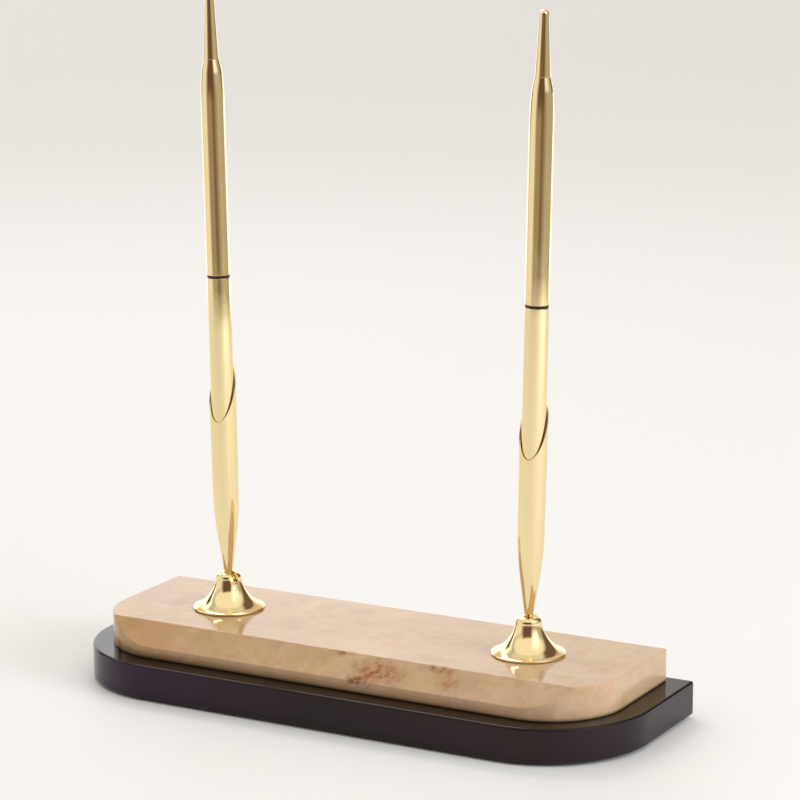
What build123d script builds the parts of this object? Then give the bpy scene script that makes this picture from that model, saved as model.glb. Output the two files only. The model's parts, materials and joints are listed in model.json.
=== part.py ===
from build123d import *
from math import cos, radians, sin
import os

# Desk pen stand: a stone slab on a glossy plinth carries two trumpet bells.
# A ball in each bell carries a tapered funnel, and a slim twist pen stands in each funnel.
# Millimetres, Z up. The origin is the middle of the felt's underside, X runs along the stand
# and +Y points to its back.

# Stone slab
SLAB_LENGTH = 190.0
SLAB_DEPTH = 60.0
SLAB_HEIGHT = 11.0
SLAB_CORNER_R = 26.0
FACET_RUN = 7.5
FACET_DROP = 7.0
SLAB_EASE = 0.35

# Plinth, wider than the slab by these margins
PLINTH_END_MARGIN = 8.0
PLINTH_FRONT_MARGIN = 8.0
PLINTH_BACK_MARGIN = 4.5
PLINTH_HEIGHT = 11.5
PLINTH_CORNER_R = 36.5
PLINTH_EASE = 0.5

# Felt under the plinth
FELT_HEIGHT = 1.0
FELT_INSET = 2.5

# Mounting screws, from below through plinth and slab into the bells
SCREW_D = 4.0
SCREW_HOLE_CLEARANCE = 0.2
SCREW_HEAD_D = 7.6
SCREW_HEAD_HEIGHT = 2.4
SCREW_SLOT_WIDTH = 1.0
SCREW_SLOT_DEPTH = 1.1
SCREW_TIP_GAP = 0.2
HEAD_GAP = 0.05
FLAT_WASHER_D = 9.0
FLAT_WASHER_HEIGHT = 0.8
SPRING_WASHER_D = 7.2
SPRING_WASHER_HEIGHT = 1.0
SPRING_WASHER_SPLIT = 0.8
WASHER_CLEARANCE = 0.1
HEAD_TO_FELT = 0.3
RECESS_CLEARANCE = 0.4

# Bells
BELL_SPACING = 115.0
BELL_FLANGE_D = 24.6
BELL_RIM = 0.9
BELL_GAP = 0.1
BELL_HEIGHT = 12.6
BELL_CROWN_D = 9.0
CROWN_ROUND = 2.4
CROWN_BAND = 0.4
CROWN_TOP_WALL = 0.4
FLARE_FOOT_REACH = 3.3
FLARE_FOOT_RISE = 1.25
FLARE_CROWN_PULL = 4.4
BELL_FOOT_WIDTH = 2.0
BELL_BOSS_WALL = 1.2
BELL_RECESS_DEPTH = 0.9

# Ball joint in the bell's crown: the funnel tilts along a slot that each bell turns its own way
BALL_D = 6.6
BALL_CLEARANCE = 0.1
NECK_D = 2.85
SLOT_CLEARANCE = 0.25
TILT_MAX = 65.0
SLOT_TURN = {"left": -35.0, "right": 45.0}
SEAT_CLEARANCE = 0.05
SEAT_FLOOR = 0.75
SEAT_WRAP = 1.8
SEAT_SPRING_HEIGHT = 1.7
SEAT_SPRING_WIRE = 0.4
SEAT_SPRING_HOLE_D = 3.2
BUSH_RECESS = 0.3

# Funnels, measured along their axis from the ball's centre
LEAN = 1.2
STEM_D = 1.8
STEM_TOP = 8.0
NECK_TOP = 4.3
FUNNEL_FLOOR = 9.0
FUNNEL_CONE_TOP = 16.8
FUNNEL_CONE_D = 6.6
FUNNEL_SHOULDER = 32.2
FUNNEL_WALL = 0.4
FUNNEL_MOUTH_D = 9.5
MOUTH_MIDDLE = 67.5
MOUTH_RISE = 10.7
MOUTH_TURN = 8.0

# Pens, measured along the same axis
PEN_D = 7.9
PEN_CLEARANCE = 0.1
PEN_NOSE_END = 14.0
PEN_NOSE_D = 3.2
NOSE_JOINT = 22.0
NOSE_SPIGOT_D = 4.0
NOSE_SPIGOT_LENGTH = 5.0
BARREL_WALL = 0.58
BARREL_END_EASE = 0.15
RING_MIDDLE = 106.6
RING_HEIGHT = 0.86
RING_D = 7.7
RING_GAP = 0.1
UPPER_TAPER_START = 164.2
UPPER_SHOULDER_FOOT = 175.6
UPPER_SHOULDER_FOOT_D = 6.8
TAIL_JOINT = 179.4
TAIL_JOINT_D = 5.05
TAIL_JOINT_EASE = 0.12
TAIL_END = 200.5
TAIL_END_D = 3.15
TAIL_SPIGOT_D = 3.2
TAIL_SPIGOT_LENGTH = 8.0

# Twist mechanism inside the pen
TWIST_TRAVEL = 3.5
TWIST_ANGLE = 180.0
GUIDE_D = 5.5
GUIDE_COLLAR_LENGTH = 10.0
GUIDE_LENGTH = 19.6
GUIDE_RIM_HEIGHT = 0.8
MECHANISM_CLEARANCE = 0.1
CAM_FOOT_GAP = 2.4
CAM_STEPS = 24
PIN_D = 0.9
PIN_BELOW_CAM_TOP = 3.8
PIN_SLOT_CLEARANCE = 0.1
HOLDER_D = 3.6
HOLDER_ABOVE_PIN = 2.0
HOLDER_BELOW_PIN = 8.0
HOLDER_SOCKET = 5.0

# Refill
REFILL_D = 3.0
REFILL_WALL = 0.3
POINT_D = 2.2
POINT_TIP_D = 0.7
POINT_CONE_LENGTH = 2.4
POINT_LENGTH = 9.4
POINT_SPIGOT_LENGTH = 4.0
POINT_RECESS = 0.6
POINT_CLEARANCE = 0.1
REFILL_BORE_CLEARANCE = 0.2

# Sizes that follow from the ones above
plinth_length = SLAB_LENGTH + 2 * PLINTH_END_MARGIN
plinth_depth = SLAB_DEPTH + PLINTH_FRONT_MARGIN + PLINTH_BACK_MARGIN
plinth_top = FELT_HEIGHT + PLINTH_HEIGHT
slab_top = plinth_top + SLAB_HEIGHT
slab_back = plinth_depth / 2 - PLINTH_BACK_MARGIN
slab_front = slab_back - SLAB_DEPTH
bell_x = BELL_SPACING / 2
bell_y = (slab_back + slab_front + FACET_RUN) / 2

washer_recess = HEAD_TO_FELT + SCREW_HEAD_HEIGHT + HEAD_GAP + SPRING_WASHER_HEIGHT + FLAT_WASHER_HEIGHT
washer_top = FELT_HEIGHT + washer_recess
screw_hole_r = SCREW_D / 2 + SCREW_HOLE_CLEARANCE
washer_hole_r = SCREW_D / 2 + WASHER_CLEARANCE

ball_r = BALL_D / 2
socket_r = ball_r + BALL_CLEARANCE
ball_height = BELL_HEIGHT - CROWN_TOP_WALL - socket_r
neck_r = NECK_D / 2
slot_r = neck_r + SLOT_CLEARANCE
seat_bottom = ball_height - ball_r - SEAT_CLEARANCE - SEAT_FLOOR
bush_top = seat_bottom - SEAT_SPRING_HEIGHT

pen_r = PEN_D / 2
cone_r = FUNNEL_CONE_D / 2
cone_slope = (cone_r - neck_r) / (FUNNEL_CONE_TOP - NECK_TOP)
shoulder_r = pen_r + PEN_CLEARANCE + FUNNEL_WALL
mouth_r = FUNNEL_MOUTH_D / 2
mouth_top = MOUTH_MIDDLE + MOUTH_RISE

barrel_bore_r = pen_r - BARREL_WALL
nose_r = PEN_NOSE_D / 2
nose_slope = (pen_r - nose_r) / (FUNNEL_SHOULDER - PEN_NOSE_END)
nose_joint_r = nose_r + nose_slope * (NOSE_JOINT - PEN_NOSE_END)
nose_spigot_r = NOSE_SPIGOT_D / 2
nose_spigot_top = NOSE_JOINT + NOSE_SPIGOT_LENGTH
ring_bottom = RING_MIDDLE - RING_HEIGHT / 2
ring_top = RING_MIDDLE + RING_HEIGHT / 2
upper_bottom = ring_top + RING_GAP

guide_r = GUIDE_D / 2
holder_r = HOLDER_D / 2
guide_bore_r = holder_r + MECHANISM_CLEARANCE
cam_bore_r = guide_r + MECHANISM_CLEARANCE
cam_bottom = ring_top + CAM_FOOT_GAP
guide_top = ring_top + GUIDE_LENGTH
guide_rim_bottom = guide_top - GUIDE_RIM_HEIGHT
cam_top = guide_rim_bottom - MECHANISM_CLEARANCE
pin_height = cam_top - PIN_BELOW_CAM_TOP
pin_slot_r = PIN_D / 2 + PIN_SLOT_CLEARANCE
pin_reach = barrel_bore_r - MECHANISM_CLEARANCE

refill_r = REFILL_D / 2
refill_bore_r = refill_r - REFILL_WALL
point_r = POINT_D / 2
point_end = PEN_NOSE_END + POINT_RECESS
refill_bottom = point_end + POINT_LENGTH
refill_top = pin_height - HOLDER_BELOW_PIN + HOLDER_SOCKET
point_bore_top = refill_bottom - TWIST_TRAVEL - POINT_RECESS


def turned(*lines):
    """Solid turned about Z from a closed outline in the XZ plane."""
    return revolve(make_face(lines), Axis.Z)


def turned_points(*points):
    """Solid turned about Z from the corners (radius, height) of its half section."""
    corners = [(radius, 0, height) for radius, height in points]
    return turned(Polyline(*corners, close=True))


def rod(radius, bottom, top):
    """Round bar about Z between two heights."""
    bar = Cylinder(radius, top - bottom, align=(Align.CENTER, Align.CENTER, Align.MIN))
    return Pos(0, 0, bottom) * bar


def tube(outer_radius, inner_radius, bottom, top):
    """Round tube about Z between two heights."""
    return rod(outer_radius, bottom, top) - rod(inner_radius, bottom, top)


def plan(length, depth, front_radius):
    """Plan with square back corners and round front corners, centred on the origin."""
    sheet = Rectangle(length, depth)
    front_corners = sheet.vertices().group_by(Axis.Y)[0]
    return fillet(front_corners, front_radius)


def at_both_bells(piece):
    """The piece twice, on the two bell axes."""
    return [Pos(side * bell_x, bell_y, 0) * piece for side in (-1, 1)]


def make_felt():
    sheet = plan(
        plinth_length - 2 * FELT_INSET,
        plinth_depth - 2 * FELT_INSET,
        PLINTH_CORNER_R - FELT_INSET,
    )
    return extrude(sheet, FELT_HEIGHT)


def make_plinth():
    block = extrude(plan(plinth_length, plinth_depth, PLINTH_CORNER_R), PLINTH_HEIGHT)
    flat_faces = block.faces().filter_by(Axis.Z)
    block = chamfer(flat_faces.edges(), PLINTH_EASE)
    block = Pos(0, 0, FELT_HEIGHT) * block
    recess_r = FLAT_WASHER_D / 2 + RECESS_CLEARANCE
    screw_way = rod(screw_hole_r, FELT_HEIGHT, plinth_top) + rod(recess_r, FELT_HEIGHT, washer_top)
    return block - at_both_bells(screw_way)


def make_slab():
    block = extrude(plan(SLAB_LENGTH, SLAB_DEPTH, SLAB_CORNER_R), SLAB_HEIGHT)
    block = Pos(0, slab_front + SLAB_DEPTH / 2, plinth_top) * block
    facet_section = Polyline(
        (0, slab_front, slab_top - FACET_DROP),
        (0, slab_front + FACET_RUN, slab_top),
        (0, slab_front, slab_top),
        close=True,
    )
    block -= extrude(make_face(facet_section), SLAB_LENGTH, dir=(1, 0, 0), both=True)
    top_face = block.faces().sort_by(Axis.Z)[-1]
    block = chamfer(top_face.edges(), SLAB_EASE)
    screw_way = rod(screw_hole_r, plinth_top, slab_top)
    return block - at_both_bells(screw_way)


def make_flat_washers():
    washer = tube(FLAT_WASHER_D / 2, washer_hole_r, washer_top - FLAT_WASHER_HEIGHT, washer_top)
    return at_both_bells(washer)


def make_spring_washers():
    top = washer_top - FLAT_WASHER_HEIGHT
    washer_r = SPRING_WASHER_D / 2
    washer = tube(washer_r, washer_hole_r, top - SPRING_WASHER_HEIGHT, top)
    split_gap = Box(
        washer_r,
        SPRING_WASHER_SPLIT,
        SPRING_WASHER_HEIGHT,
        align=(Align.MIN, Align.CENTER, Align.MAX),
    )
    washer -= Pos(0, 0, top) * split_gap
    return at_both_bells(washer)


def make_screw():
    """Screw about Z in the stand's heights, its tip in the bell's bush."""
    head_bottom = FELT_HEIGHT + HEAD_TO_FELT
    head_top = head_bottom + SCREW_HEAD_HEIGHT
    screw = rod(SCREW_HEAD_D / 2, head_bottom, head_top)
    screw += rod(SCREW_D / 2, head_top, slab_top + bush_top - SCREW_TIP_GAP)
    driver_slot = Box(
        SCREW_HEAD_D,
        SCREW_SLOT_WIDTH,
        SCREW_SLOT_DEPTH,
        align=(Align.CENTER, Align.CENTER, Align.MIN),
    )
    return screw - Pos(0, 0, head_bottom) * driver_slot


def make_tilt_slot():
    """Room for the funnel's neck about the ball's centre, from upright to its full tilt along +X."""
    reach = BELL_CROWN_D
    sector = Polyline(
        (0, 0, 0),
        (0, 0, reach),
        (reach, 0, reach),
        (reach * sin(radians(TILT_MAX)), 0, reach * cos(radians(TILT_MAX))),
        close=True,
    )
    slot = extrude(make_face(sector), slot_r, dir=(0, 1, 0), both=True)
    upright = rod(slot_r, 0, reach)
    return slot + upright + Rotation(0, TILT_MAX, 0) * upright


def make_bell(slot_turn):
    """Bell about Z, with the slab's top at height 0."""
    flange_r = BELL_FLANGE_D / 2
    crown_r = BELL_CROWN_D / 2
    rim_round = (BELL_RIM - BELL_GAP) / 2
    rim_r = flange_r - rim_round
    crown_foot = BELL_HEIGHT - CROWN_ROUND - CROWN_BAND
    crown_turn = BELL_HEIGHT - CROWN_ROUND
    crown_middle = CROWN_ROUND * cos(radians(45))
    body = turned(
        Polyline((0, 0, BELL_HEIGHT), (0, 0, BELL_GAP), (rim_r, 0, BELL_GAP)),
        ThreePointArc((rim_r, 0, BELL_GAP), (flange_r, 0, BELL_GAP + rim_round), (rim_r, 0, BELL_RIM)),
        Bezier(
            (rim_r, 0, BELL_RIM),
            (rim_r - FLARE_FOOT_REACH, 0, BELL_RIM + FLARE_FOOT_RISE),
            (crown_r, 0, crown_foot - FLARE_CROWN_PULL),
            (crown_r, 0, crown_foot),
        ),
        Line((crown_r, 0, crown_foot), (crown_r, 0, crown_turn)),
        ThreePointArc(
            (crown_r, 0, crown_turn),
            (crown_r - CROWN_ROUND + crown_middle, 0, crown_turn + crown_middle),
            (crown_r - CROWN_ROUND, 0, BELL_HEIGHT),
        ),
        Line((crown_r - CROWN_ROUND, 0, BELL_HEIGHT), (0, 0, BELL_HEIGHT)),
    )
    body -= rod(socket_r, 0, ball_height) + Pos(0, 0, ball_height) * Sphere(socket_r)
    boss_r = socket_r + BELL_BOSS_WALL
    body -= tube(flange_r - BELL_FOOT_WIDTH, boss_r, 0, BELL_GAP + BELL_RECESS_DEPTH)
    return body - Pos(0, 0, ball_height) * Rotation(0, 0, slot_turn) * make_tilt_slot()


def make_bush():
    return tube(socket_r, SCREW_D / 2, BUSH_RECESS, bush_top)


def make_seat_spring():
    """Disc spring between the bush and the ball's seat."""
    outer_r = socket_r - BALL_CLEARANCE
    inner_r = SEAT_SPRING_HOLE_D / 2
    return turned_points(
        (outer_r, bush_top),
        (outer_r, bush_top + SEAT_SPRING_WIRE),
        (inner_r, seat_bottom),
        (inner_r, seat_bottom - SEAT_SPRING_WIRE),
    )


def make_ball_seat():
    seat = rod(socket_r - SEAT_CLEARANCE, seat_bottom, seat_bottom + SEAT_FLOOR + SEAT_WRAP)
    return seat - Pos(0, 0, ball_height) * Sphere(ball_r + SEAT_CLEARANCE)


def funnel_form(inset, bottom, top):
    """Funnel's outer form, drawn in by the wall thickness where it is its hollow."""
    bottom_r = max(neck_r, neck_r + cone_slope * (bottom - NECK_TOP)) - inset
    foot = [(bottom_r, 0, bottom)]
    if bottom < NECK_TOP:
        foot.append((neck_r - inset, 0, NECK_TOP))
    cone_end = (cone_r - inset, 0, FUNNEL_CONE_TOP)
    shoulder = (shoulder_r - inset, 0, FUNNEL_SHOULDER)
    return turned(
        Polyline((0, 0, top), (0, 0, bottom), *foot, cone_end),
        TangentArc(cone_end, shoulder, tangent=(cone_slope, 0, 1)),
        Polyline(shoulder, (mouth_r - inset, 0, top), (0, 0, top)),
    )


def make_funnel():
    """Funnel about Z, with the ball's centre at height 0."""
    funnel = funnel_form(0, 0, mouth_top) - funnel_form(FUNNEL_WALL, FUNNEL_FLOOR, mouth_top)
    slope = MOUTH_RISE / mouth_r
    high_side = radians(90 + MOUTH_TURN)
    mouth_plane = Plane(
        origin=(0, 0, MOUTH_MIDDLE),
        z_dir=(-slope * cos(high_side), -slope * sin(high_side), 1),
    )
    funnel = split(funnel, bisect_by=mouth_plane, keep=Keep.BOTTOM)
    return funnel - Sphere(ball_r) - rod(STEM_D / 2, 0, STEM_TOP)


def make_ball():
    return Sphere(ball_r) + rod(STEM_D / 2, 0, STEM_TOP)


def make_nose_cone():
    refill_way_r = refill_r + REFILL_BORE_CLEARANCE
    nose = turned_points(
        (0, PEN_NOSE_END),
        (nose_r, PEN_NOSE_END),
        (nose_joint_r, NOSE_JOINT),
        (nose_spigot_r, NOSE_JOINT),
        (nose_spigot_r, nose_spigot_top),
        (0, nose_spigot_top),
    )
    nose -= rod(point_r + POINT_CLEARANCE, PEN_NOSE_END, point_bore_top)
    return nose - rod(refill_way_r, point_bore_top, nose_spigot_top)


def make_lower_barrel():
    barrel = turned_points(
        (0, NOSE_JOINT),
        (nose_joint_r, NOSE_JOINT),
        (pen_r, FUNNEL_SHOULDER),
        (pen_r, ring_bottom - BARREL_END_EASE),
        (pen_r - BARREL_END_EASE, ring_bottom),
        (0, ring_bottom),
    )
    barrel -= rod(nose_spigot_r, NOSE_JOINT, FUNNEL_SHOULDER)
    return barrel - rod(barrel_bore_r, FUNNEL_SHOULDER, ring_bottom)


def make_centre_ring():
    return tube(RING_D / 2, guide_r, ring_bottom, ring_top)


def make_guide_sleeve():
    sleeve = rod(barrel_bore_r, ring_bottom - GUIDE_COLLAR_LENGTH, ring_bottom)
    sleeve += rod(guide_r, ring_bottom, guide_top)
    rim_r = barrel_bore_r - MECHANISM_CLEARANCE
    sleeve += rod(rim_r, guide_rim_bottom, guide_top)
    sleeve -= rod(guide_bore_r, ring_bottom - GUIDE_COLLAR_LENGTH, guide_top)
    slot_length = TWIST_TRAVEL + 2 * pin_slot_r
    pin_slot = Box(guide_r, 2 * pin_slot_r, slot_length, align=(Align.MIN, Align.CENTER, Align.MAX))
    return sleeve - Pos(0, 0, pin_height + pin_slot_r) * pin_slot


def make_cam_sleeve():
    """Sleeve whose helical slot drives the follower pin down as the upper barrel turns."""
    sleeve = tube(barrel_bore_r, cam_bore_r, cam_bottom, cam_top)
    cutter = Rotation(0, 90, 0) * rod(pin_slot_r, 0, pen_r)
    cuts = []
    for step in range(CAM_STEPS + 1):
        share = step / CAM_STEPS
        height = pin_height - TWIST_TRAVEL * share
        cuts.append(Pos(0, 0, height) * Rotation(0, 0, -TWIST_ANGLE * share) * cutter)
    return sleeve - cuts


def make_upper_barrel():
    tail_spigot_r = TAIL_SPIGOT_D / 2
    taper_end = (UPPER_SHOULDER_FOOT_D / 2, 0, UPPER_SHOULDER_FOOT)
    barrel = turned(
        Polyline(
            (0, 0, TAIL_JOINT),
            (0, 0, upper_bottom),
            (pen_r - BARREL_END_EASE, 0, upper_bottom),
            (pen_r, 0, upper_bottom + BARREL_END_EASE),
            (pen_r, 0, UPPER_TAPER_START),
        ),
        TangentArc((pen_r, 0, UPPER_TAPER_START), taper_end, tangent=(0, 0, 1)),
        Polyline(taper_end, (TAIL_JOINT_D / 2, 0, TAIL_JOINT), (0, 0, TAIL_JOINT)),
    )
    barrel -= rod(barrel_bore_r, upper_bottom, UPPER_TAPER_START)
    return barrel - rod(tail_spigot_r, TAIL_JOINT - TAIL_SPIGOT_LENGTH, TAIL_JOINT)


def make_tail():
    joint_r = TAIL_JOINT_D / 2
    end_r = TAIL_END_D / 2
    round_foot = TAIL_END - end_r
    round_middle = end_r * cos(radians(45))
    tail = turned(
        Polyline(
            (0, 0, TAIL_END),
            (0, 0, TAIL_JOINT),
            (joint_r - TAIL_JOINT_EASE, 0, TAIL_JOINT),
            (joint_r, 0, TAIL_JOINT + TAIL_JOINT_EASE),
            (end_r, 0, round_foot),
        ),
        ThreePointArc(
            (end_r, 0, round_foot),
            (round_middle, 0, round_foot + round_middle),
            (0, 0, TAIL_END),
        ),
    )
    return tail + rod(TAIL_SPIGOT_D / 2, TAIL_JOINT - TAIL_SPIGOT_LENGTH, TAIL_JOINT)


def make_refill_tube():
    return tube(refill_r, refill_bore_r, refill_bottom, refill_top)


def make_refill_point():
    cone_top = point_end + POINT_CONE_LENGTH
    return turned_points(
        (0, point_end),
        (POINT_TIP_D / 2, point_end),
        (point_r, cone_top),
        (point_r, refill_bottom),
        (refill_bore_r, refill_bottom),
        (refill_bore_r, refill_bottom + POINT_SPIGOT_LENGTH),
        (0, refill_bottom + POINT_SPIGOT_LENGTH),
    )


def make_refill_holder():
    bottom = pin_height - HOLDER_BELOW_PIN
    holder = rod(holder_r, bottom, pin_height + HOLDER_ABOVE_PIN)
    holder -= rod(refill_r, bottom, refill_top)
    follower_pin = Rotation(0, 90, 0) * rod(PIN_D / 2, 0, pin_reach)
    return holder + Pos(0, 0, pin_height) * follower_pin


def base_pieces():
    return {
        "felt_pad": make_felt(),
        "plinth": make_plinth(),
        "stone_slab": make_slab(),
        "flat_washers": make_flat_washers(),
        "spring_washers": make_spring_washers(),
    }


def bell_pieces(slot_turn):
    return {
        "bell": make_bell(slot_turn),
        "bell_bush": make_bush(),
        "seat_spring": make_seat_spring(),
        "ball_seat": make_ball_seat(),
    }


def funnel_and_pen_pieces():
    return {
        "funnel": make_funnel(),
        "ball": make_ball(),
        "pen_nose_cone": make_nose_cone(),
        "pen_lower_barrel": make_lower_barrel(),
        "pen_centre_ring": make_centre_ring(),
        "pen_guide_sleeve": make_guide_sleeve(),
        "pen_cam_sleeve": make_cam_sleeve(),
        "pen_upper_barrel": make_upper_barrel(),
        "pen_tail": make_tail(),
        "refill_tube": make_refill_tube(),
        "refill_point": make_refill_point(),
        "refill_holder": make_refill_holder(),
    }


def side_pieces(name, side, funnel_and_pen):
    """Everything that stands on one bell axis, each piece in its place."""
    bell_axis = Pos(side * bell_x, bell_y, 0)
    bell_seat = bell_axis * Pos(0, 0, slab_top)
    pen_axis = bell_seat * Pos(0, 0, ball_height) * Rotation(0, side * LEAN, 0)
    pieces = {"mounting_screw": bell_axis * make_screw()}
    for piece, solid in bell_pieces(SLOT_TURN[name]).items():
        pieces[piece] = bell_seat * solid
    for piece, solid in funnel_and_pen.items():
        pieces[piece] = pen_axis * solid
    return {f"{name}_{piece}": solid for piece, solid in pieces.items()}


os.makedirs("parts", exist_ok=True)
nodes = base_pieces()
twin_pieces = funnel_and_pen_pieces()
nodes.update(side_pieces("left", -1, twin_pieces))
nodes.update(side_pieces("right", 1, twin_pieces))
for node, shape in nodes.items():
    solids = shape if isinstance(shape, list) else [shape]
    export_step(Compound(children=solids), f"parts/{node}.step")
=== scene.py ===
import json
from math import atan2, cos, pi, radians, sin

import bpy
from mathutils import Matrix, Quaternion, Vector

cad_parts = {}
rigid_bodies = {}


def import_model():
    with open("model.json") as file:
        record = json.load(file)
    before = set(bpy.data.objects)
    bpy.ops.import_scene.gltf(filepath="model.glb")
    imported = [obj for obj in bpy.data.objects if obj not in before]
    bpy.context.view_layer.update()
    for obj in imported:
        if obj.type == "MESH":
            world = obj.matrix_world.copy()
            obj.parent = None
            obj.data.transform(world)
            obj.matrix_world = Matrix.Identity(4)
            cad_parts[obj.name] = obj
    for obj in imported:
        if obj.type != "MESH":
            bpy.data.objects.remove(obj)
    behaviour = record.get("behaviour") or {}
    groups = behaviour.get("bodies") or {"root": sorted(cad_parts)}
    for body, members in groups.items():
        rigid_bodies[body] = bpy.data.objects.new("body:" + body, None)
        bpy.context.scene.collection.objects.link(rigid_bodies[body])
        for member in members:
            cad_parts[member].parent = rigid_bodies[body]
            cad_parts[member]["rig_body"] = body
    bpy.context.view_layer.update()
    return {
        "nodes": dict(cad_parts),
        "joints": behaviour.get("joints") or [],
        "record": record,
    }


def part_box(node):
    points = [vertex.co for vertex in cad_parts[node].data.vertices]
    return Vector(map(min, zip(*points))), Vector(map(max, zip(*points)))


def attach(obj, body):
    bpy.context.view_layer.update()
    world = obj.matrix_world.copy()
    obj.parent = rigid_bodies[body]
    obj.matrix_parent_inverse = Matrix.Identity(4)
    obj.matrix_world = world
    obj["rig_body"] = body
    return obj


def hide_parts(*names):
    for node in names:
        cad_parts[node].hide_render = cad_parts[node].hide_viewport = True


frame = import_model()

# Desk pen stand: a polished onyx slab on a dark acrylic plinth, two gold-plated bells on the slab,
# and in each bell a tilting funnel with a slim twist pen. Outlines are drawn in millimetres and
# made in metres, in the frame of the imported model.

MM = 0.001

# Camera, matched to the photograph: turn and rise in degrees, focal length in pixels
VIEW_TURN = 28.93
VIEW_RISE = 12.12
VIEW_ROLL = -0.17
VIEW_DISTANCE = 0.98903
VIEW_TARGET = (0.01197, 0.00175, 0.10415)
VIEW_FOCAL = 3027.4
IMAGE_SIDE = 800

# Floor, in metres: its side, and how far out polished metal still mirrors it
FLOOR_SIDE = 16.0
FLOOR_REACH = 0.745
FLOOR_REACH_SOFT = 0.06

# Base blocks
SLAB_CORNER_R = 26.0
FACET_RUN = 7.5
FACET_DROP = 7.0
SLAB_EASE = 0.3
PLINTH_CORNER_R = 36.5
PLINTH_EASE = 0.8
FELT_EASE = 0.3
FELT_INSET = 2.5
SCREW_HOLE_R = 2.2
WASHER_RECESS_R = 4.9
WASHER_RECESS_DEPTH = 4.55

# Bell, heights above the slab
BELL_FLANGE_R = 12.3
BELL_RIM = 0.9
BELL_GAP = 0.1
BELL_HEIGHT = 12.6
CROWN_R = 4.35
CROWN_ROUND = 1.7
SOCKET_ROOF = 0.4
FLARE_FOOT_REACH = 3.3
FLARE_FOOT_RISE = 1.25
FLARE_CROWN_PULL = 4.6
FLARE_CROWN_REACH = 0.35
BELL_FOOT_WIDTH = 2.0
BELL_RECESS_DEPTH = 0.9
BELL_BOSS_R = 4.6
BALL_R = 3.3
SOCKET_R = 3.4
SLOT_R = 1.675
TILT_MAX = 65.0
SLOT_TURN = {"left": -35.0, "right": 45.0}

# Funnel, heights along the pen's axis from the ball's centre
NECK_R = 1.425
NECK_TOP = 4.3
CONE_R = 3.3
CONE_TOP = 16.8
SHOULDER_R = 4.45
SHOULDER = 32.2
FUNNEL_WALL = 0.4
MOUTH_WALL = 0.6
LIP_ROUND = 0.13
MOUTH_R = 4.75
MOUTH_MIDDLE = 67.5
MOUTH_RISE = 10.7
MOUTH_HIGH_SIDE = 94.0

# Pen, heights along the same axis
PEN_R = 3.95
PEN_BORE_R = 3.37
NOSE_END = 14.0
NOSE_R = 1.6
NOSE_EASE = 0.1
NOSE_BORE_R = 1.2
NOSE_BORE_TOP = 19.9
NOSE_JOINT = 22.0
NOSE_JOINT_R = 2.633
NOSE_SPIGOT_R = 2.0
NOSE_SPIGOT_TOP = 27.0
REFILL_WAY_R = 1.7
RING_R = 3.85
RING_BORE_R = 2.75
RING_BOTTOM = 106.17
RING_TOP = 107.03
RING_ROUND = 0.1
UPPER_BOTTOM = 107.13
TUBE_END_ROUND = 0.18
TAPER_START = 164.2
TAPER_END = 175.6
TAPER_END_R = 3.4
TAIL_JOINT = 179.4
TAIL_JOINT_R = 2.525
TAIL_JOINT_ROUND = 0.12
TAIL_SPIGOT_R = 1.6
TAIL_SPIGOT_BOTTOM = 171.4
TAIL_END = 200.5
TAIL_END_R = 1.575

# Fineness of the turned pieces, round corners and eased edges; cutters run past the faces they cut
SPIN_STEPS = 144
ARC_STEPS = 10
CORNER_STEPS = 64
EASE_STEPS = 3
CUT_OVER = 1.0
CUT_NEAR = 1e-6
WELD = 2e-6

# Angles in degrees: edges sharper than these are eased, rounded at the funnel's lip, or shaded sharp
EASE_ANGLE = 30
LIP_ANGLE = 50
SHARP_ANGLE = 35

# Clouds in the onyx: size in millimetres, slice of the noise, where it starts and is full, most, colour
ONYX_CLOUDS = [
    (40, 1.0, 0.48, 0.72, 0.65, "#d6b993"),
    (24, 3.0, 0.47, 0.68, 0.6, "#cf9f86"),
    (12, 8.0, 0.5, 0.7, 0.55, "#aa8452"),
    (7, 6.0, 0.5, 0.7, 0.35, "#dcc194"),
    (2.2, 5.0, 0.4, 0.75, 0.25, "#a98860"),
]
# Iron stains in the onyx: middle and half sizes in millimetres, most, colour
ONYX_STAINS = [
    ((18.0, -25.0, 19.6), (13, 8, 6), 1.0, "#9a5406"),
    ((12.0, -28.0, 16.6), (6, 3, 2.5), 1.0, "#7c4206"),
    ((3.5, -21.4, 23.0), (7, 2.6, 2), 1.0, "#884006"),
    ((38.2, -21.8, 22.6), (9, 3.5, 2.5), 0.9, "#9a5416"),
    ((43.0, -24.2, 20.2), (8, 6, 5), 0.65, "#aa6428"),
    ((86.5, -27.0, 17.6), (5, 4, 3), 0.5, "#c08468"),
    ((16.0, -7.4, 23.5), (10, 5, 3), 0.55, "#cf8f78"),
    ((35.0, -14.5, 23.5), (10, 5, 3), 0.45, "#a87f5c"),
    ((-42.0, 32.0, 18.0), (14, 5, 5), 0.6, "#a06630"),
    ((28.0, 33.0, 16.0), (20, 4, 4), 0.45, "#a87440"),
    ((-96.0, 12.0, 17.0), (4, 11, 5), 0.5, "#a87040"),
]
# Painted glow of the acrylic along its length, for light falling in through it: where each starts and is full
# in millimetres, colour
ACRYLIC_PAINTED_GLOW = [
    (-100, 0, "#1b050a"),
    (0, 60, "#220e13"),
    (78, 103, "#241a22"),
]
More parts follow.
